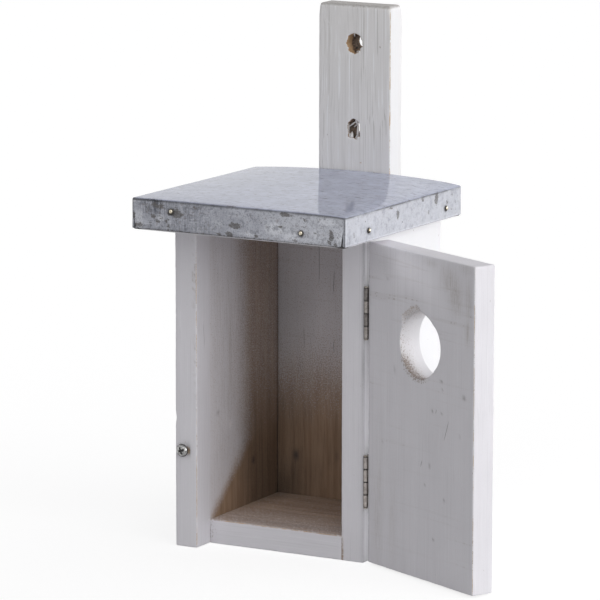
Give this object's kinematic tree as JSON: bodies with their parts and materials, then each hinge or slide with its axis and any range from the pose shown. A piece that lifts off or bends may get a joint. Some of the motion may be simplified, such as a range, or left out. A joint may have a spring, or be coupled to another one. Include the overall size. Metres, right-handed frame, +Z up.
{
  "type": "nest box",
  "caption": "Wooden nest box with a metal-covered roof, a hanging slat with screw holes and a side-hinged front door that holds the round entrance hole.",
  "frame": {"origin": "middle of the body in plan (between the side walls, and between the right wall's front edge and the back wall's outer face), on the underside of the floor board", "axes": "+X to the hinge side as seen from the front, +Y towards the back and the hanging slat, +Z up"},
  "size_m": [0.1894, 0.1336, 0.26],
  "materials": {
    "whitewashed_wood": "thin matt whitewash over softwood, worn at the arrises",
    "bare_wood": "sawn, with a little whitewash overspray at the front",
    "zinc_sheet": "thin galvanised sheet, semi-gloss, mottled and stained at the edges",
    "hinge_steel": "dull plated steel with some brown tarnish",
    "fastener_steel": "plated steel"
  },
  "bodies": {
    "box": {"left_wall": "whitewashed_wood", "right_wall": "whitewashed_wood", "back_wall": "whitewashed_wood", "floor_board": "bare_wood", "roof_board": "whitewashed_wood", "roof_sheet": "zinc_sheet", "roof_pins_front": "fastener_steel", "roof_pins_back": "fastener_steel", "roof_pins_left": "fastener_steel", "roof_pins_right": "fastener_steel", "hanging_slat": "whitewashed_wood", "slat_screws": "fastener_steel", "left_wall_nails": "fastener_steel", "right_wall_nails": "fastener_steel", "latch_screw": "fastener_steel", "upper_hinge_frame_leaf": "hinge_steel", "upper_hinge_frame_screws": "hinge_steel", "upper_hinge_pin": "hinge_steel", "lower_hinge_frame_leaf": "hinge_steel", "lower_hinge_frame_screws": "hinge_steel", "lower_hinge_pin": "hinge_steel"},
    "door": {"door_panel": "whitewashed_wood", "upper_hinge_door_leaf": "hinge_steel", "upper_hinge_door_screws": "hinge_steel", "lower_hinge_door_leaf": "hinge_steel", "lower_hinge_door_screws": "hinge_steel"}
  },
  "joints": [
    {"name": "door_hinge", "type": "hinge", "parent": "box", "child": "door", "pos_m": [0.0501, -0.04055, 0.08175], "axis": [0, 0, 1], "range_deg": [-154, 21]}
  ]
}
